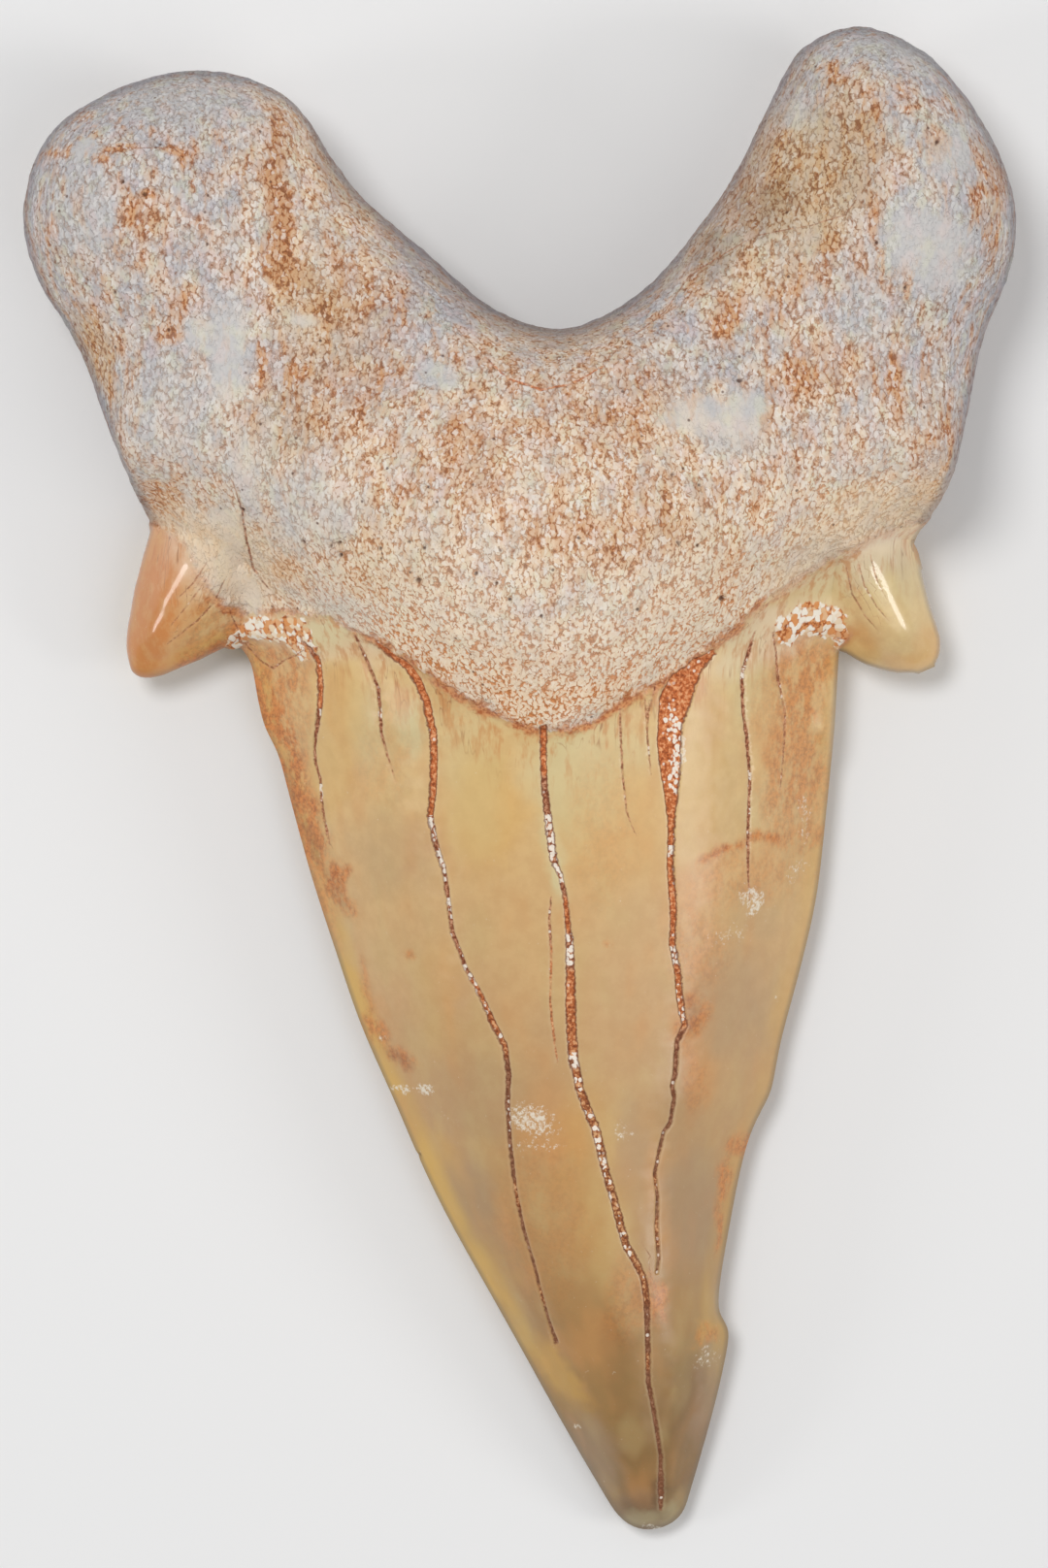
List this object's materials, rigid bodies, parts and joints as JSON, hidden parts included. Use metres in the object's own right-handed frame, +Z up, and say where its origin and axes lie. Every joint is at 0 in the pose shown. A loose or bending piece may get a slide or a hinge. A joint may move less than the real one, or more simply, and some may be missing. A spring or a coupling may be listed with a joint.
{
  "type": "otodus obliquus tooth",
  "caption": "Fossil shark tooth lying flat: porous two-lobed root around a U-shaped notch, long leaning blade-like crown, small side cusps.",
  "frame": {"origin": "centre of the bounding box in plan, on the surface that the tooth lies on", "axes": "+X to the right with the tongue side up and the tip towards the viewer, +Y from the tip to the root lobes, +Z up out of the tongue side"},
  "size_m": [0.056, 0.0852, 0.0179],
  "materials": {
    "fossil_tooth": "satin enamel crown in tan and orange, matt porous pinkish-grey root"
  },
  "bodies": {
    "root": {"tooth": "fossil_tooth"}
  },
  "joints": []
}
